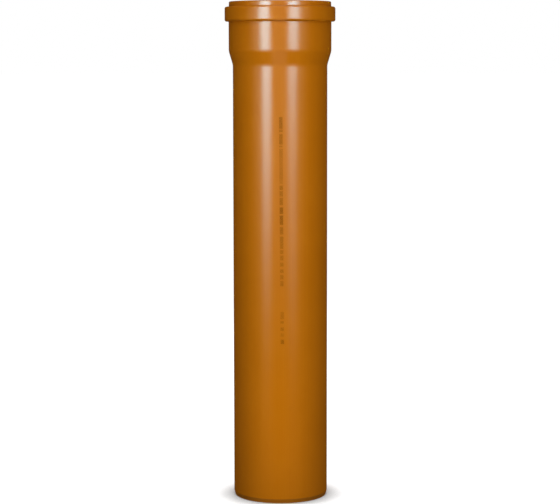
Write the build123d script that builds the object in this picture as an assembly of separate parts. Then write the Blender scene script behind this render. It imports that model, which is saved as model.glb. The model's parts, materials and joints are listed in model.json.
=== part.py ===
from build123d import *
from math import atan2, radians, tan
import os

# Barrel: the plain extruded pipe, with a bevelled spigot at the bottom
PIPE_DIAMETER = 110.0
WALL = 4.2
PIPE_LENGTH = 580.0
BEVEL_LENGTH = 5.0
BEVEL_ANGLE = 15.0
CUT_EDGE_RADIUS = 0.3

# Socket: the belled end at the top, one wall with the barrel
SPIGOT_CLEARANCE = 0.45
SOCKET_WALL = 4.2
SOCKET_DEPTH = 57.0
TAPER_LENGTH = 16.0
SHOULDER_RADIUS = 15.0
ROOT_RADIUS = 15.0

# Bead: the raised band that holds the groove for the sealing ring
GROOVE_WIDTH = 9.5
GROOVE_DEPTH = 5.0
GROOVE_CORNER_RADIUS = 1.0
BEAD_WALL = 3.8
BEAD_LOWER_FLANK = 4.0
BEAD_UPPER_FLANK = 3.5
BEAD_LOWER_RADIUS = 2.2
BEAD_UPPER_RADIUS = 2.2
BEAD_FOOT_RADIUS = 0.8

# Lip: the short collar between the bead and the mouth
LIP_LENGTH = 6.0
LIP_WALL = 4.0
LIP_DRAFT = 0.25
LIP_FOOT_RADIUS = 0.5
RIM_RADIUS = 1.2
LEAD_IN = 1.5

# Sealing ring: rubber, with its lip pressed back as it is round a fitted spigot
RING_PLAY = 0.25
RING_CORNER_RADIUS = 0.8
RING_SHOULDER = 2.8
RING_BODY_FOOT = 2.3
SEAL_LIP_PLAY = 0.3
SEAL_LIP_THICKNESS = 1.0
SEAL_LIP_LENGTH = 5.6
SEAL_LIP_TIP_GAP = 0.5
SEAL_SLIT_DEPTH = 5.0


def ring_of(section, name):
    """Turn a closed section about the pipe's axis and save it.

    Args:
        section: corners of the section as (radius, height, corner rounding).
        name: name of the piece, used for its file too.

    Returns:
        The finished solid.
    """
    corners = [(radius, height) for radius, height, rounding in section]
    roundings = [rounding for radius, height, rounding in section]
    outline = FilletPolyline(*corners, radius=roundings, close=True)
    solid = revolve(Plane.XZ * make_face(outline), Axis.Z)
    solid.label = name
    os.makedirs("parts", exist_ok=True)
    export_step(solid, f"parts/{name}.step")
    return solid


# Radii of the barrel and of the socket that takes the next pipe's spigot
barrel_outer = PIPE_DIAMETER / 2
barrel_inner = barrel_outer - WALL
spigot_tip = barrel_outer - BEVEL_LENGTH * tan(radians(BEVEL_ANGLE))
socket_inner = barrel_outer + SPIGOT_CLEARANCE
socket_outer = socket_inner + SOCKET_WALL
groove_outer = socket_inner + GROOVE_DEPTH
bead_outer = groove_outer + BEAD_WALL
lip_outer = socket_inner + LIP_WALL

# Heights, from the cut end of the spigot up to the mouth
bead_top = PIPE_LENGTH - LIP_LENGTH
groove_top = bead_top - BEAD_UPPER_FLANK
groove_bottom = groove_top - GROOVE_WIDTH
bead_bottom = groove_bottom - BEAD_LOWER_FLANK
shoulder = PIPE_LENGTH - SOCKET_DEPTH
root = shoulder - TAPER_LENGTH

# The inside of the taper runs parallel to its outside, a wall's thickness in
half_slope = atan2(socket_outer - barrel_outer, TAPER_LENGTH) / 2
shoulder_inside = shoulder + SOCKET_WALL * tan(half_slope)
root_inside = root + WALL * tan(half_slope)

pipe = ring_of(
    [
        (spigot_tip, 0, CUT_EDGE_RADIUS),
        (barrel_outer, BEVEL_LENGTH, 0),
        (barrel_outer, root, ROOT_RADIUS),
        (socket_outer, shoulder, SHOULDER_RADIUS),
        (socket_outer, bead_bottom, BEAD_FOOT_RADIUS),
        (bead_outer, bead_bottom, BEAD_LOWER_RADIUS),
        (bead_outer, bead_top, BEAD_UPPER_RADIUS),
        (lip_outer, bead_top, LIP_FOOT_RADIUS),
        (lip_outer - LIP_DRAFT, PIPE_LENGTH, RIM_RADIUS),
        (socket_inner + LEAD_IN, PIPE_LENGTH, 0),
        (socket_inner, PIPE_LENGTH - LEAD_IN, 0),
        (socket_inner, groove_top, 0),
        (groove_outer, groove_top, GROOVE_CORNER_RADIUS),
        (groove_outer, groove_bottom, GROOVE_CORNER_RADIUS),
        (socket_inner, groove_bottom, 0),
        (socket_inner, shoulder_inside, max(SHOULDER_RADIUS - SOCKET_WALL, 1.0)),
        (barrel_inner, root_inside, ROOT_RADIUS + WALL),
        (barrel_inner, 0, CUT_EDGE_RADIUS),
    ],
    "pipe",
)

# The ring fills the groove, and its lip hangs from the mouth side of the ring's body
ring_outer = groove_outer - RING_PLAY
ring_bottom = groove_bottom + RING_PLAY
ring_top = groove_top - RING_PLAY
lip_inner = barrel_outer + SEAL_LIP_PLAY
lip_bottom = ring_bottom + SEAL_LIP_TIP_GAP

sealing_ring = ring_of(
    [
        (ring_outer, ring_bottom, RING_CORNER_RADIUS),
        (ring_outer, ring_top, RING_CORNER_RADIUS),
        (ring_outer - RING_SHOULDER, ring_top, RING_CORNER_RADIUS),
        (lip_inner, lip_bottom + SEAL_LIP_LENGTH, RING_CORNER_RADIUS),
        (lip_inner, lip_bottom, SEAL_LIP_THICKNESS * 0.4),
        (lip_inner + SEAL_LIP_THICKNESS, lip_bottom, SEAL_LIP_THICKNESS * 0.4),
        (lip_inner + SEAL_LIP_THICKNESS * 1.6, ring_bottom + SEAL_SLIT_DEPTH, 0.3),
        (ring_outer - RING_BODY_FOOT, ring_bottom, RING_CORNER_RADIUS * 0.5),
    ],
    "sealing_ring",
)
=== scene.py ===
"""Dresses a belled sewer pipe: satin plastic, a rubber lip seal in its socket and a printed dash line."""
import json
import logging
import math
import random
from dataclasses import dataclass
from enum import Enum
from typing import Any, Dict, Iterator, List, Sequence, Tuple, Union

import bmesh
import bpy
from mathutils import Euler, Matrix, Vector


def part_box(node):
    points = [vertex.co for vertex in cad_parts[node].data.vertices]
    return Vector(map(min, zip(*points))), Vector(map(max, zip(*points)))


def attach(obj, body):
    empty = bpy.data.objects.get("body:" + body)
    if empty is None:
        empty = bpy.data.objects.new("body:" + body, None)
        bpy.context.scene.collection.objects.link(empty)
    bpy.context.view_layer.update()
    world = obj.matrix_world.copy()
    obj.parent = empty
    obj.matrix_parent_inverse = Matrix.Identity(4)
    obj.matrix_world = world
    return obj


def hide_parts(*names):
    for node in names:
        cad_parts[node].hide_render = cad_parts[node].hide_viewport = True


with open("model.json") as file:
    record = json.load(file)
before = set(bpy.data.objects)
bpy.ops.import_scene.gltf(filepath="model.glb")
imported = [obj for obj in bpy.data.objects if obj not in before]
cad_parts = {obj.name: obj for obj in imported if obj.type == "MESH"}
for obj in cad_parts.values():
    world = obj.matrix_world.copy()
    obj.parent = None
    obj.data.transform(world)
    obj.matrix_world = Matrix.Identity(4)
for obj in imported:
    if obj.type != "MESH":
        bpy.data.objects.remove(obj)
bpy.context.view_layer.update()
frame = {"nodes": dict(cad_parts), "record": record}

log = logging.getLogger("sewer_pipe")

MM = 0.001
ROOT_BODY = "root"

Colour = Tuple[float, float, float]
Corner = Tuple[float, float, float]
Point = Tuple[float, float]
Range = Tuple[float, float]
Key = Union[int, str]


class Slot(Enum):
    """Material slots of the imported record."""

    PLASTIC = "pipe_plastic"
    RUBBER = "seal_rubber"


class Side(Enum):
    """Side of a beam of light, as the sign of the distance across it."""

    LEFT = -1
    RIGHT = 1


class Signal:
    """One number that varies over a surface. Arithmetic on it adds Math nodes."""

    def __init__(self, sheet: "NodeSheet", socket: bpy.types.NodeSocket) -> None:
        """Wrap an output socket of a node on the sheet."""
        self.sheet = sheet
        self.socket = socket

    def maths(self, operation: str, *operands: Union["Signal", float]) -> "Signal":
        """Add one Math node.

        Args:
            operation: Blender's name of the operation.
            operands: values or signals for its sockets, in order.

        Returns:
            The node's result.
        """
        sockets = dict(enumerate(operands))
        return self.sheet.signal(self.sheet.node("ShaderNodeMath", {"operation": operation}, sockets))

    def __add__(self, other: Union["Signal", float]) -> "Signal":
        """Sum."""
        return self.maths("ADD", self, other)

    def __radd__(self, other: float) -> "Signal":
        """Sum with a number on the left."""
        return self.maths("ADD", other, self)

    def __sub__(self, other: Union["Signal", float]) -> "Signal":
        """Difference."""
        return self.maths("SUBTRACT", self, other)

    def __rsub__(self, other: float) -> "Signal":
        """Difference with a number on the left."""
        return self.maths("SUBTRACT", other, self)

    def __mul__(self, other: Union["Signal", float]) -> "Signal":
        """Product."""
        return self.maths("MULTIPLY", self, other)

    def __rmul__(self, other: float) -> "Signal":
        """Product with a number on the left."""
        return self.maths("MULTIPLY", other, self)

    def __truediv__(self, other: Union["Signal", float]) -> "Signal":
        """Quotient."""
        return self.maths("DIVIDE", self, other)

    def __rtruediv__(self, other: float) -> "Signal":
        """Quotient with a number on the left."""
        return self.maths("DIVIDE", other, self)

    def __pow__(self, exponent: float) -> "Signal":
        """Power."""
        return self.maths("POWER", self, exponent)

    def __abs__(self) -> "Signal":
        """Size without its sign."""
        return self.maths("ABSOLUTE", self)

    def largest(self, other: Union["Signal", float]) -> "Signal":
        """The larger of two values."""
        return self.maths("MAXIMUM", self, other)

    def rise(self, start: float, end: float) -> "Signal":
        """Rise smoothly from 0 to 1 between two values.

        Args:
            start: value where the result is 0.
            end: value where the result is 1; it may be the smaller one.

        Returns:
            A signal between 0 and 1.
        """
        low, high = (0.0, 1.0) if end > start else (1.0, 0.0)
        sockets = {0: self, 1: min(start, end), 2: max(start, end), 3: low, 4: high}
        smooth = {"interpolation_type": "SMOOTHSTEP"}
        return self.sheet.signal(self.sheet.node("ShaderNodeMapRange", smooth, sockets))


class NodeSheet:
    """A node tree that is filled node by node."""

    octave_share: float = 0.55

    def __init__(self, tree: bpy.types.NodeTree) -> None:
        """Take over a tree and clear it."""
        self.tree = tree
        self.tree.nodes.clear()

    def node(self, kind: str, settings: Dict[str, Any], sockets: Dict[Key, Any]) -> bpy.types.Node:
        """Add a node.

        Args:
            kind: Blender's type of the node.
            settings: properties, set before the sockets.
            sockets: value or link of each input, by its name or number.

        Returns:
            The new node.
        """
        node = self.tree.nodes.new(kind)
        for name, value in settings.items():
            setattr(node, name, value)
        for key, value in sockets.items():
            if isinstance(value, Signal):
                value = value.socket
            if isinstance(value, bpy.types.NodeSocket):
                self.tree.links.new(value, node.inputs[key])
            else:
                node.inputs[key].default_value = value
        return node

    def signal(self, node: bpy.types.Node, output: Key = 0) -> Signal:
        """Wrap one output of a node."""
        return Signal(self, node.outputs[output])

    def noise(self, vector: bpy.types.NodeSocket, scale: float, detail: float = 2.0) -> Signal:
        """Add a noise between 0 and 1, with its mean near one half.

        Args:
            vector: place on the surface.
            scale: cells per unit of that place.
            detail: octaves of finer noise.

        Returns:
            The noise.
        """
        sockets = {"Vector": vector, "Scale": scale, "Detail": detail, "Roughness": self.octave_share}
        return self.signal(self.node("ShaderNodeTexNoise", {"noise_dimensions": "3D"}, sockets))

    def tint(self, factor: Signal, first: Any, second: Any) -> bpy.types.NodeSocket:
        """Blend two colours.

        Args:
            factor: 0 for the first, 1 for the second.
            first: colour or socket.
            second: colour or socket.

        Returns:
            The blended colour's socket.
        """
        first, second = ((*c, 1.0) if isinstance(c, tuple) else c for c in (first, second))
        sockets = {0: factor, 6: first, 7: second}
        return self.node("ShaderNodeMix", {"data_type": "RGBA"}, sockets).outputs[2]

    def bump(self, height: Signal, depth: float) -> bpy.types.NodeSocket:
        """Turn a height signal into a normal.

        Args:
            height: relief between 0 and 1.
            depth: metres that a height of 1 stands for.

        Returns:
            The normal's socket.
        """
        sockets = {"Height": height, "Strength": 1.0, "Distance": depth}
        return self.node("ShaderNodeBump", {}, sockets).outputs[0]

    def shine(self, colour: Colour, strength: float) -> bpy.types.NodeSocket:
        """A surface that gives off light of one colour and strength."""
        sockets = {"Color": (*colour, 1.0), "Strength": strength}
        return self.node("ShaderNodeEmission", {}, sockets).outputs[0]

    def matt(self, grey: float) -> bpy.types.NodeSocket:
        """A matt grey surface."""
        return self.node("ShaderNodeBsdfDiffuse", {}, {"Color": (grey, grey, grey, 1.0)}).outputs[0]

    def blend(self, factor: Any, *shaders: bpy.types.NodeSocket) -> bpy.types.NodeSocket:
        """Blend from the first shader to the second; a shader alone fades in from black."""
        sockets = dict(zip((1, 2) if len(shaders) == 2 else (2,), shaders))
        return self.node("ShaderNodeMixShader", {}, {0: factor, **sockets}).outputs[0]

    def background_rays(self) -> Signal:
        """Tell the rays that show what is behind the object from the rays that light it.

        Returns:
            1 for camera, glossy and transmission rays, and 0 for the rest.
        """
        path = self.node("ShaderNodeLightPath", {}, {})
        seen = self.signal(path, "Is Camera Ray").largest(self.signal(path, "Is Glossy Ray"))
        return seen.largest(self.signal(path, "Is Transmission Ray"))

    def close(self, surface: bpy.types.NodeSocket, kind: str = "ShaderNodeOutputMaterial") -> None:
        """Link the finished surface to the output."""
        self.node(kind, {}, {"Surface": surface})


@dataclass(frozen=True)
class Places:
    """Where a point lies: along X and Y, its height, its distance from the axis and its bearing."""

    sheet: NodeSheet
    x: Signal
    y: Signal
    height: Signal
    radius: Signal
    position: bpy.types.NodeSocket
    bearing: bpy.types.NodeSocket

    @classmethod
    def on(cls, sheet: NodeSheet) -> "Places":
        """Measure the shaded point in the part's own frame.

        Args:
            sheet: node sheet of the material.

        Returns:
            The point's places, in metres.
        """
        position = sheet.node("ShaderNodeTexCoord", {}, {}).outputs["Object"]
        parts = sheet.node("ShaderNodeSeparateXYZ", {}, {0: position})
        x, y, height = (sheet.signal(parts, axis) for axis in range(3))
        across = sheet.node("ShaderNodeCombineXYZ", {}, {0: x, 1: y}).outputs[0]
        bearing = sheet.node("ShaderNodeVectorMath", {"operation": "NORMALIZE"}, {0: across}).outputs[0]
        return cls(sheet, x, y, height, (x * x + y * y) ** 0.5, position, bearing)

    def drawn_out(self, around: float, along: float) -> bpy.types.NodeSocket:
        """A place for noise that is drawn out along the pipe, as the die leaves it.

        Args:
            around: cells per radian round the pipe.
            along: cells per metre along the pipe.

        Returns:
            The place's socket.
        """
        scale = {0: self.bearing, 3: around}
        turned = self.sheet.node("ShaderNodeVectorMath", {"operation": "SCALE"}, scale)
        lifted = self.sheet.node("ShaderNodeCombineXYZ", {}, {2: self.height * along})
        sockets = {0: turned.outputs[0], 1: lifted.outputs[0]}
        return self.sheet.node("ShaderNodeVectorMath", {"operation": "ADD"}, sockets).outputs[0]


def new_material(name: str) -> Tuple[bpy.types.Material, NodeSheet]:
    """Make an empty material with a node sheet; where it glows, only rays that meet it find its light.

    Args:
        name: its name.

    Returns:
        The material and its sheet.
    """
    material = bpy.data.materials.new(name)
    material.use_nodes = True
    material.cycles.emission_sampling = "NONE"
    return material, NodeSheet(material.node_tree)


@dataclass(frozen=True)
class PipePlastic:
    """Extruded polypropylene: orange-brown, satin, with die lines along it and matte cut ends whose darker
    colour is painted shade.
    """

    pigment: Colour = (0.515, 0.154, 0.0020)
    pale_streak: Colour = (0.545, 0.166, 0.0030)
    # The cut colour is darker than the pigment: painted shade for the downward-facing bevel at the foot,
    # given to every cut end.
    cut_with_painted_shade: Colour = (0.40, 0.128, 0.0060)
    roughness: float = 0.235
    streak_roughness: float = 0.05
    cut_roughness: float = 0.72
    ior: float = 1.49
    haze: float = 0.42
    haze_roughness: float = 0.45
    relief_depth: float = 0.012 * MM
    die_line_cells: Tuple[float, float] = (70.0, 2.0)
    fine_line_cells: Tuple[float, float] = (260.0, 6.0)
    cloud_cells: float = 16.0
    saw_mark_cells: float = 900.0
    die_line_share: float = 0.6
    streak_range: Range = (0.35, 0.65)
    bevel_length: float = 5.0 * MM
    rim_depth: float = 0.6 * MM
    lead_in_depth: float = 1.5 * MM
    lead_in_radius: float = 57.0 * MM
    mouth_height: float = 580.0 * MM
    cut_edge: float = 0.1 * MM

    def cut_ends(self, places: Places) -> Signal:
        """Find the bevelled spigot end, the trimmed rim and the lead-in.

        Args:
            places: where the point lies.

        Returns:
            1 on the cut ends and 0 elsewhere.
        """
        bevel = places.height.rise(self.bevel_length + self.cut_edge, self.bevel_length - self.cut_edge)
        rim = self.mouth_height - self.rim_depth
        trimmed = places.height.rise(rim, rim + self.cut_edge)
        lead_in = self.mouth_height - self.lead_in_depth
        inside = places.radius.rise(self.lead_in_radius + self.cut_edge, self.lead_in_radius)
        slope = places.height.rise(lead_in - self.cut_edge, lead_in) * inside
        return bevel.largest(trimmed).largest(slope)

    def material(self) -> bpy.types.Material:
        """Build the material.

        Returns:
            The finished material.
        """
        material, sheet = new_material("pipe_plastic_satin")
        places = Places.on(sheet)
        cut_with_painted_shade = self.cut_ends(places)
        die_lines = sheet.noise(places.drawn_out(*self.die_line_cells), scale=1.0, detail=3.0)
        fine_lines = sheet.noise(places.drawn_out(*self.fine_line_cells), scale=1.0)
        clouds = sheet.noise(places.position, self.cloud_cells)
        saw_marks = sheet.noise(places.position, self.saw_mark_cells, detail=1.0)
        streak = (die_lines * 0.5 + clouds * 0.5).rise(*self.streak_range)
        roughness = self.roughness + (die_lines + clouds - 1.0) * self.streak_roughness
        relief = die_lines * self.die_line_share + fine_lines * (1.0 - self.die_line_share)
        # The cut ends take the darker cut colour, which is painted shade.
        sockets = {
            "Base Color": sheet.tint(cut_with_painted_shade, sheet.tint(streak, self.pigment, self.pale_streak), self.cut_with_painted_shade),
            "Roughness": roughness + cut_with_painted_shade * (self.cut_roughness - self.roughness),
            "IOR": self.ior,
            "Coat Weight": (1.0 - cut_with_painted_shade) * self.haze,
            "Coat Roughness": self.haze_roughness,
            "Normal": sheet.bump(relief + saw_marks * cut_with_painted_shade, self.relief_depth),
        }
        sheet.close(sheet.node("ShaderNodeBsdfPrincipled", {}, sockets).outputs[0])
        return material


@dataclass(frozen=True)
class SealRubber:
    """Black moulded rubber, matte with a faint bloom."""

    black: Colour = (0.012, 0.012, 0.013)
    bloom: Colour = (0.034, 0.034, 0.036)
    roughness: float = 0.55
    bloom_roughness: float = 0.2
    bloom_range: Range = (0.4, 0.75)
    bloom_cells: float = 90.0
    ior: float = 1.5
    grain_depth: float = 0.02 * MM
    grain_cells: float = 2600.0

    def material(self) -> bpy.types.Material:
        """Build the material.

        Returns:
            The finished material.
        """
        material, sheet = new_material("seal_rubber_matte")
        places = Places.on(sheet)
        clouds = sheet.noise(places.position, self.bloom_cells, detail=3.0)
        grain = sheet.noise(places.position, self.grain_cells)
        sockets = {
            "Base Color": sheet.tint(clouds.rise(*self.bloom_range), self.black, self.bloom),
            "Roughness": self.roughness + (clouds - 0.5) * self.bloom_roughness,
            "IOR": self.ior,
            "Normal": sheet.bump(grain, self.grain_depth),
        }
        sheet.close(sheet.node("ShaderNodeBsdfPrincipled", {}, sockets).outputs[0])
        return material


@dataclass(frozen=True)
class PrintInk:
    """Brown marking ink, jetted on in dots and a little uneven."""

    dark: Colour = (0.15, 0.046, 0.0008)
    thin: Colour = (0.25, 0.076, 0.0010)
    thin_range: Range = (0.35, 0.7)
    patch_cells: float = 60.0
    roughness: float = 0.6
    speckle_roughness: float = 0.2
    speckle_cells: float = 3000.0
    ior: float = 1.1

    def material(self) -> bpy.types.Material:
        """Build the material.

        Returns:
            The finished material.
        """
        material, sheet = new_material("print_ink_dark")
        places = Places.on(sheet)
        patches = sheet.noise(places.position, self.patch_cells)
        speckle = sheet.noise(places.position, self.speckle_cells)
        sockets = {
            "Base Color": sheet.tint(patches.rise(*self.thin_range), self.dark, self.thin),
            "Roughness": self.roughness + (speckle - 0.5) * self.speckle_roughness,
            "IOR": self.ior,
        }
        sheet.close(sheet.node("ShaderNodeBsdfPrincipled", {}, sockets).outputs[0])
        return material


def add_object(name: str, data: bpy.types.ID) -> bpy.types.Object:
    """Put new object data into the scene.

    Args:
        name: name of the object.
        data: mesh, lamp or camera.

    Returns:
        The new object.
    """
    item = bpy.data.objects.new(name, data)
    bpy.context.scene.collection.objects.link(item)
    return item


def mesh_object(name: str, mesh: bmesh.types.BMesh, material: bpy.types.Material) -> bpy.types.Object:
    """Turn a finished mesh into an object with one material.

    Args:
        name: name of the object and its mesh.
        mesh: the faces, freed afterwards.
        material: material of all faces.

    Returns:
        The new object.
    """
    data = bpy.data.meshes.new(name)
    mesh.to_mesh(data)
    mesh.free()
    data.shade_smooth()
    data.materials.append(material)
    return add_object(name, data)


def wall_between(start: Vector, end: Vector, low: float, high: float) -> bmesh.types.BMesh:
    """An upright rectangle that stands on a line.

    Args:
        start: one end of the line, seen from above.
        end: its other end.
        low: height of the lower edge.
        high: height of the upper edge.

    Returns:
        A mesh with one face.
    """
    mesh = bmesh.new()
    corners = ((start, low), (end, low), (end, high), (start, high))
    mesh.faces.new([mesh.verts.new((place.x, place.y, height)) for place, height in corners])
    return mesh


def show_in_reflections(panel: bpy.types.Object) -> None:
    """Make a panel part of the studio that only reflections show.

    Args:
        panel: a panel or a card.
    """
    panel.visible_camera = False
    panel.visible_diffuse = False
    panel.visible_shadow = False
    panel.visible_transmission = False


def mount_radius(name: str) -> float:
    """Radius of one of the record's round mounts, in metres."""
    return next(m["dims"]["r_mm"] for m in frame["record"]["mounts"] if m["name"] == name) * MM


@dataclass
class BelledPipe:
    """The pipe itself, as the frame holds it."""

    finish: PipePlastic = PipePlastic()
    node: str = "pipe"

    def build(self) -> bpy.types.Object:
        """Give the pipe its plastic.

        Returns:
            The dressed pipe.
        """
        pipe = frame["nodes"][self.node]
        pipe.material_slots[0].material = self.finish.material()
        return pipe


@dataclass
class LipSeal:
    """The rubber ring in the socket's groove, with its lip standing free into the bore."""

    finish: SealRubber = SealRubber()
    node: str = "sealing_ring"
    corner: float = 0.7 * MM
    shoulder: float = 2.6 * MM
    neck_in: float = 4.8 * MM
    neck_drop: float = 2.6 * MM
    neck_round: float = 1.4 * MM
    lip_reach: float = 2.9 * MM
    tip_rise: float = 1.0 * MM
    tip_width: float = 0.55 * MM
    tip_drop: float = 0.95 * MM
    tip_round: float = 0.45 * MM
    slit_in: float = 4.2 * MM
    slit_depth: float = 5.2 * MM
    slit_round: float = 0.5 * MM
    foot: float = 2.4 * MM
    foot_round: float = 0.42 * MM
    rounds: int = 192
    corner_steps: int = 5

    def section(self) -> List[Corner]:
        """Corners of the ring's section.

        Returns:
            Radius, height and rounding of each corner, in order round the section.
        """
        low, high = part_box(self.node)
        outer, bottom, top = high.x, low.z, high.z
        tip = mount_radius("socket") - self.lip_reach
        tip_top = bottom + self.tip_rise
        return [
            (outer, bottom, self.corner),
            (outer, top, self.corner),
            (outer - self.shoulder, top, self.corner),
            (outer - self.neck_in, top - self.neck_drop, self.neck_round),
            (tip, tip_top, self.tip_round),
            (tip + self.tip_width, tip_top - self.tip_drop, self.tip_round),
            (outer - self.slit_in, bottom + self.slit_depth, self.slit_round),
            (outer - self.foot, bottom, self.foot_round),
        ]

    def rounded(self, corners: Sequence[Corner]) -> Iterator[Point]:
        """Round the corners of a closed outline.

        Args:
            corners: radius, height and rounding of each corner.

        Returns:
            The outline's points, in order.
        """
        count = len(corners)
        for index, (radius, height, rounding) in enumerate(corners):
            here = Vector((radius, height))
            before = (Vector(corners[index - 1][:2]) - here).normalized()
            after = (Vector(corners[(index + 1) % count][:2]) - here).normalized()
            half = before.angle(after) / 2
            reach = rounding / math.tan(half)
            centre = here + (before + after).normalized() * (rounding / math.sin(half))
            start = here + before * reach - centre
            turn = start.angle_signed(here + after * reach - centre)
            for step in range(self.corner_steps + 1):
                spoke = start.copy()
                spoke.rotate(Matrix.Rotation(-turn * step / self.corner_steps, 2))
                yield tuple(centre + spoke)

    def build(self) -> bpy.types.Object:
        """Turn the section about the pipe's axis.

        Returns:
            The ring, standing for its CAD node.
        """
        outline = list(self.rounded(self.section()))
        mesh = bmesh.new()
        rings = []
        for turn in range(self.rounds):
            angle = 2 * math.pi * turn / self.rounds
            cosine, sine = math.cos(angle), math.sin(angle)
            rings.append([mesh.verts.new((r * cosine, r * sine, z)) for r, z in outline])
        for ring, following in zip(rings, rings[1:] + rings[:1]):
            for index in range(len(outline)):
                mesh.faces.new((ring[index - 1], ring[index], following[index], following[index - 1]))
        bmesh.ops.recalc_face_normals(mesh, faces=mesh.faces)
        seal = mesh_object("lip_seal", mesh, self.finish.material())
        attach(seal, ROOT_BODY)
        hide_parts(self.node)
        return seal


@dataclass(frozen=True)
class Dash:
    """One dash of the printed line: its upper end, its lower end and the size of its dots."""

    top: float
    bottom: float
    dot_radius: float

    def levels(self, pitch: float) -> Iterator[float]:
        """Heights of the dash's dots, from the top down.

        Args:
            pitch: distance from dot to dot.

        Returns:
            The heights.
        """
        for step in range(round((self.top - self.bottom) / pitch)):
            yield self.top - (step + 0.5) * pitch


@dataclass
class DashLine:
    """A printed line of ink dashes down the barrel, each a block of jetted dots."""

    dashes: Tuple[Dash, ...]
    finish: PrintInk = PrintInk()
    bearing: float = 0.65
    drift: float = 6.6
    rows: int = 7
    pitch: float = 0.56 * MM
    scatter: float = 0.03 * MM
    film: float = 0.02 * MM
    sides: int = 8
    seed: int = 7

    def build(self) -> bpy.types.Object:
        """Lay the dots on the barrel.

        Returns:
            The dash line.
        """
        mesh = bmesh.new()
        chance = random.Random(self.seed)
        start = self.dashes[0].top
        for dash in self.dashes:
            for height in dash.levels(self.pitch):
                middle = math.radians(self.bearing + (start - height) * self.drift)
                for row in range(self.rows):
                    across = (row - (self.rows - 1) / 2) * self.pitch
                    across += chance.uniform(-self.scatter, self.scatter)
                    level = height + chance.uniform(-self.scatter, self.scatter)
                    self.dot(mesh, (middle, across, level), dash.dot_radius)
        line = mesh_object("dash_line", mesh, self.finish.material())
        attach(line, ROOT_BODY)
        return line

    def dot(self, mesh: bmesh.types.BMesh, place: Tuple[float, float, float], radius: float) -> None:
        """Lay one dot of ink.

        Args:
            mesh: mesh that takes it.
            place: bearing of the line in radians, distance beside it on the surface, and height.
            radius: size of the dot.
        """
        middle, across, level = place
        surface = mount_radius("spigot") + self.film
        rim = []
        for side in range(self.sides):
            turn = 2 * math.pi * side / self.sides
            angle = middle + (across + radius * math.cos(turn)) / surface
            height = level + radius * math.sin(turn)
            rim.append(mesh.verts.new((surface * math.sin(angle), -surface * math.cos(angle), height)))
        mesh.faces.new(rim)


@dataclass
class Floor:
    """A pale floor that takes a soft shadow, and a white backdrop."""

    half_size: float = 60.0
    paper: float = 0.35
    near_glow: float = 0.92
    far_glow: float = 1.0
    near: float = 0.3
    far: float = 1.6
    painted_shadow_reach: float = 0.03
    painted_shadow_samples: int = 8
    shade: float = 0.06
    bore_glow: float = 0.8
    bore_edge: float = 5.0 * MM
    ambient: float = 0.07

    def build(self) -> bpy.types.Object:
        """Lay the floor and set the world.

        Returns:
            The floor.
        """
        mesh = bmesh.new()
        bmesh.ops.create_grid(mesh, x_segments=1, y_segments=1, size=self.half_size)
        floor = mesh_object("floor", mesh, self.material())
        self.backdrop()
        return floor

    def material(self) -> bpy.types.Material:
        """White paper that shows the lamps' shadow and a painted contact shadow, lights the bore, is dull
        to the rest and open from below.

        Returns:
            The floor's material.
        """
        material, sheet = new_material("floor_paper")
        radius = Places.on(sheet).radius
        # Painted contact shadow: ambient occlusion near the pipe's foot darkens the floor's glow, by its
        # square.
        samples = {"samples": self.painted_shadow_samples}
        occlusion = sheet.node("ShaderNodeAmbientOcclusion", samples, {"Distance": self.painted_shadow_reach})
        open_sky = sheet.signal(occlusion, "AO")
        white = (1.0, 1.0, 1.0)
        outward = radius.rise(self.near, self.far)
        glow = sheet.blend(outward, sheet.shine(white, self.near_glow), sheet.shine(white, self.far_glow))
        glow = sheet.blend(open_sky * open_sky, glow)
        paper = sheet.node("ShaderNodeAddShader", {}, {0: sheet.matt(self.paper), 1: glow}).outputs[0]
        spigot = mount_radius("spigot")
        inside = radius.rise(spigot, spigot - self.bore_edge)
        dull = sheet.blend(inside, sheet.matt(self.shade), sheet.shine(white, self.bore_glow))
        above = sheet.blend(sheet.background_rays(), dull, paper)
        below = sheet.node("ShaderNodeNewGeometry", {}, {}).outputs["Backfacing"]
        sheet.close(sheet.blend(below, above, sheet.node("ShaderNodeBsdfTransparent", {}, {}).outputs[0]))
        return material

    def backdrop(self) -> None:
        """White where the background shows, and a dim fill for everything else."""
        world = bpy.data.worlds.new("backdrop")
        world.use_nodes = True
        sheet = NodeSheet(world.node_tree)
        skies = []
        for strength in (self.ambient, 1.0):
            sockets = {"Color": (1.0, 1.0, 1.0, 1.0), "Strength": strength}
            skies.append(sheet.node("ShaderNodeBackground", {}, sockets).outputs[0])
        sheet.close(sheet.blend(sheet.background_rays(), *skies), "ShaderNodeOutputWorld")
        bpy.context.scene.world = world


@dataclass
class DarkCards:
    """Dark cards round the set, seen only in reflections, that keep the plastic's sides deep in colour."""

    radius: float = 3.4
    height: float = 5.0
    lift: float = 0.5 * MM
    sides: int = 24
    grey: float = 0.004
    sheen_tint: Colour = (0.7, 0.9, 1.1)
    sheen_rise: Range = (0.10, 0.46)

    def material(self, sheen: float = 0.0) -> bpy.types.Material:
        """Black card, or card whose upper part shines faintly.

        Args:
            sheen: brightness of its upper part.

        Returns:
            The cards' material.
        """
        material, sheet = new_material("dark_card")
        light = sheet.shine((self.grey, self.grey, self.grey), 1.0)
        if sheen > 0.0:
            upward = Places.on(sheet).height.rise(*self.sheen_rise)
            light = sheet.blend(upward, light, sheet.shine(self.sheen_tint, sheen))
        sheet.close(light)
        return material

    def build(self) -> bpy.types.Object:
        """Stand the cards in a ring, with one on the floor.

        Returns:
            The ring of cards.
        """
        mesh = bmesh.new()
        bmesh.ops.create_cone(
            mesh,
            cap_ends=True,
            segments=self.sides,
            radius1=self.radius,
            radius2=self.radius,
            depth=self.height,
            matrix=Matrix.Translation((0.0, 0.0, self.height / 2 + self.lift)),
        )
        cards = mesh_object("dark_cards", mesh, self.material())
        show_in_reflections(cards)
        return cards


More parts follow.
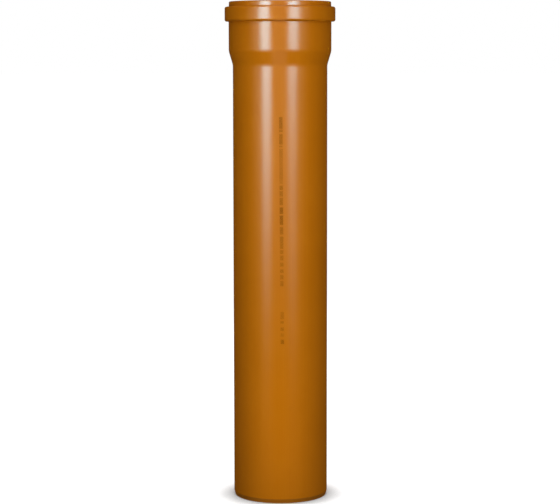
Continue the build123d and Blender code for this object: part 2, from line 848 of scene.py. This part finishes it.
@dataclass(frozen=True)
class Flag:
    """A card in a beam of light: how far from the axis it stands, and what it covers across the beam."""

    name: str
    distance: float
    start: float
    width: float
    sheen: float = 0.0
    foot: float = MM
    top: float = 0.62


@dataclass
class Softbox:
    """A tall panel that the plastic mirrors as a bright band, with flags that keep it off the flanks."""

    name: str
    outer_side: Side
    cards: DarkCards
    bearing: float
    width: float
    radiance: float
    low_share: float
    fade: float
    crown: float
    distance: float = 1.2
    height: float = 0.84
    foot_rise: Range = (-0.05, 0.30)
    main_rise: Range = (0.05, 0.62)
    crown_rise: Range = (0.62, 0.74)
    top_fall: Range = (0.84, 0.76)
    halo: float = 0.11
    halo_start: float = 0.9
    spread: float = 5.0
    edge: float = 0.35
    tint: Colour = (0.42, 0.89, 1.13)
    outer_flags: Tuple[Flag, ...] = (Flag("outer_flag", 52.0 * MM, 42.0 * MM, 80.0 * MM),)
    inner_flags: Tuple[Flag, ...] = (
        Flag("inner_flag", 75.0 * MM, 34.0 * MM, 38.0 * MM, 0.5),
        Flag("inner_wing", 120.0 * MM, 54.0 * MM, 54.0 * MM),
    )

    def directions(self) -> Tuple[Vector, Vector]:
        """Unit vectors from the axis to the panel, and across its beam."""
        angle = math.radians(self.bearing)
        return Vector((math.sin(angle), -math.cos(angle))), Vector((math.cos(angle), math.sin(angle)))

    def build(self) -> bpy.types.Object:
        """Stand the panel facing the pipe's axis, and its flags beside the pipe.

        Returns:
            The panel.
        """
        towards, across = self.directions()
        place, reach = towards * self.distance, across * (self.width * self.spread / 2)
        mesh = wall_between(place - reach, place + reach, MM, self.height)
        panel = mesh_object(self.name, mesh, self.material())
        show_in_reflections(panel)
        for side in Side:
            for flag in self.outer_flags if side is self.outer_side else self.inner_flags:
                self.stand(flag, side)
        return panel

    def stand(self, flag: Flag, side: Side) -> bpy.types.Object:
        """Stand a flag where the beam would graze the pipe.

        Args:
            flag: the flag.
            side: side of the beam.

        Returns:
            The card.
        """
        towards, across = self.directions()
        start = towards * flag.distance + across * (side.value * flag.start)
        mesh = wall_between(start, start + across * (side.value * flag.width), flag.foot, flag.top)
        card = mesh_object(f"{self.name}_{flag.name}", mesh, self.cards.material(flag.sheen))
        show_in_reflections(card)
        return card

    def material(self) -> bpy.types.Material:
        """Light that grows from the panel's foot to its crown, and from its rims to its middle.

        Returns:
            The panel's material.
        """
        material, sheet = new_material(self.name)
        places = Places.on(sheet)
        across = self.directions()[1]
        aside = abs(places.x * across.x + places.y * across.y) / (self.width / 2)
        core = aside.rise(1.0 + self.edge, 1.0 - self.edge)
        around = aside.rise(self.spread, self.halo_start) * self.halo
        level = places.height.rise(*self.foot_rise) * self.low_share
        level = level + places.height.rise(*self.main_rise) ** self.fade * (1.0 - self.low_share)
        crown = places.height.rise(*self.crown_rise) * self.crown
        share = (level * (core + around) + crown * core) * places.height.rise(*self.top_fall)
        most = 1.0 + self.halo + self.crown
        sheet.close(sheet.blend(share / most, sheet.shine(self.tint, self.radiance * most)))
        return material


@dataclass
class Lamp:
    """A plain area lamp that faces the pipe's axis, or hangs over the mouth."""

    name: str
    place: Tuple[float, float, float]
    width: float
    height: float
    radiance: float
    mirrored: bool = False

    @classmethod
    def beside(
        cls,
        name: str,
        bearing: float,
        span: Range,
        radiance: float,
        distance: float = 1.5,
        width: float = 0.8,
    ) -> "Lamp":
        """Stand a lamp beside the pipe.

        Args:
            name: its name.
            bearing: degrees round the axis from the front, to the right.
            span: heights of its lower and upper edge.
            radiance: its brightness.
            distance: from the axis.
            width: its width.

        Returns:
            The lamp.
        """
        angle = math.radians(bearing)
        low, high = span
        place = (math.sin(angle) * distance, -math.cos(angle) * distance, (low + high) / 2)
        return cls(name, place, width, high - low, radiance)

    def build(self) -> bpy.types.Object:
        """Hang the lamp.

        Returns:
            The lamp.
        """
        data = bpy.data.lights.new(self.name, "AREA")
        data.shape = "RECTANGLE"
        data.size = self.width
        data.size_y = self.height
        data.energy = self.radiance * math.pi * self.width * self.height
        data.cycles.use_multiple_importance_sampling = self.mirrored
        lamp = add_object(self.name, data)
        lamp.location = self.place
        aim = Vector((-self.place[0], -self.place[1], 0.0))
        if aim.length == 0:
            aim = Vector((0.0, 0.0, -1.0))
        lamp.rotation_euler = aim.to_track_quat("-Z", "Y").to_euler()
        lamp.visible_camera = False
        lamp.visible_glossy = self.mirrored
        return lamp


@dataclass
class Viewpoint:
    """The camera: a long lens in front of the pipe, a little below its mouth and looking down."""

    lens: float = 118.03
    sensor_width: float = 36.0
    distance: float = 2.1461
    height: float = 0.5142
    sideways: float = -0.00036
    pitch: float = 6.011
    roll: float = -0.069

    def build(self) -> bpy.types.Object:
        """Set up the camera.

        Returns:
            The camera.
        """
        data = bpy.data.cameras.new("viewpoint")
        data.lens = self.lens
        data.sensor_width = self.sensor_width
        data.dof.use_dof = False
        camera = add_object("viewpoint", data)
        aim = Euler((math.radians(90.0 - self.pitch), 0.0, 0.0)).to_matrix()
        aim = aim @ Matrix.Rotation(math.radians(self.roll), 3, "Z")
        place = Matrix.Translation((self.sideways, -self.distance, self.height))
        camera.matrix_world = place @ aim.to_4x4()
        bpy.context.scene.camera = camera
        return camera


# The printed line from the top down
PRINTED_DASHES = (
    Dash(448.3 * MM, 434.9 * MM, 0.221 * MM),
    Dash(434.0 * MM, 431.1 * MM, 0.200 * MM),
    Dash(428.8 * MM, 417.3 * MM, 0.220 * MM),
    Dash(415.6 * MM, 413.9 * MM, 0.200 * MM),
    Dash(412.2 * MM, 371.6 * MM, 0.170 * MM),
    Dash(370.2 * MM, 365.0 * MM, 0.235 * MM),
    Dash(363.8 * MM, 357.4 * MM, 0.210 * MM),
    Dash(356.2 * MM, 347.9 * MM, 0.220 * MM),
    Dash(345.2 * MM, 337.9 * MM, 0.245 * MM),
    Dash(335.8 * MM, 324.9 * MM, 0.237 * MM),
    Dash(322.5 * MM, 314.0 * MM, 0.195 * MM),
    Dash(311.7 * MM, 297.6 * MM, 0.205 * MM),
    Dash(296.2 * MM, 292.0 * MM, 0.205 * MM),
    Dash(289.9 * MM, 284.5 * MM, 0.200 * MM),
    Dash(281.7 * MM, 277.3 * MM, 0.195 * MM),
    Dash(273.8 * MM, 270.0 * MM, 0.195 * MM),
    Dash(267.5 * MM, 262.4 * MM, 0.190 * MM),
    Dash(260.6 * MM, 254.5 * MM, 0.185 * MM),
    Dash(224.7 * MM, 216.1 * MM, 0.180 * MM),
    Dash(214.1 * MM, 211.2 * MM, 0.190 * MM),
    Dash(206.7 * MM, 202.6 * MM, 0.205 * MM),
    Dash(199.8 * MM, 195.7 * MM, 0.170 * MM),
    Dash(192.5 * MM, 187.7 * MM, 0.225 * MM),
)


def build_studio() -> None:
    """Set up the floor, the panels that the plastic mirrors and the lamps that light it."""
    cards = DarkCards()
    studio = [
        Floor(),
        cards,
        Softbox(
            "softbox_left", Side.LEFT, cards, bearing=-32.3, width=0.43, radiance=12.6,
            low_share=0.12, fade=1.5, crown=1.7,
        ),
        Softbox(
            "softbox_right", Side.RIGHT, cards, bearing=29.0, width=0.42, radiance=9.2,
            low_share=0.16, fade=3.3, crown=2.8,
        ),
        Softbox(
            "softbox_back_left", Side.RIGHT, cards, bearing=-150.0, width=0.43, radiance=6.5,
            low_share=0.15, fade=1.5, crown=0.8,
        ),
        Softbox(
            "softbox_back_right", Side.LEFT, cards, bearing=150.0, width=0.43, radiance=6.5,
            low_share=0.15, fade=1.5, crown=0.8,
        ),
        Lamp.beside("key_top", bearing=0.0, span=(0.5, 1.25), radiance=3.4, distance=0.6, width=0.5),
        Lamp.beside("key", bearing=0.0, span=(0.12, 0.5), radiance=1.72, distance=0.36, width=0.3),
        Lamp.beside("key_foot", bearing=0.0, span=(0.0, 0.12), radiance=2.82, distance=0.25, width=0.16),
        Lamp.beside("fill_left", bearing=-115.0, span=(0.0, 1.2), radiance=0.3),
        Lamp.beside("fill_right", bearing=115.0, span=(0.0, 1.2), radiance=1.2),
        Lamp.beside("fill_foot_left", bearing=-135.0, span=(0.0, 0.3), radiance=9.0),
        Lamp.beside("fill_foot_right", bearing=135.0, span=(0.0, 0.3), radiance=7.8),
        Lamp.beside("back_left", bearing=-145.0, span=(0.0, 1.2), radiance=2.8),
        Lamp.beside("back_right", bearing=145.0, span=(0.0, 1.2), radiance=2.8),
        Lamp.beside("back", bearing=180.0, span=(0.2, 1.0), radiance=6.0, distance=1.0, width=0.24),
        Lamp("overhead", (0.0, 0.0, 2.4), width=1.6, height=1.6, radiance=0.9, mirrored=True),
    ]
    for item in studio:
        log.info("studio: %s", item.build().name)


def main() -> None:
    """Build the camera, the pieces and the studio in order."""
    logging.basicConfig(level=logging.INFO, format="%(name)s: %(message)s")
    bpy.context.scene.view_settings.view_transform = "Standard"
    Viewpoint().build()
    for piece in (BelledPipe(), LipSeal(), DashLine(PRINTED_DASHES)):
        made = piece.build()
        log.info("piece: %s, %d faces", made.name, len(made.data.polygons))
    build_studio()


if __name__ == "__main__":
    main()
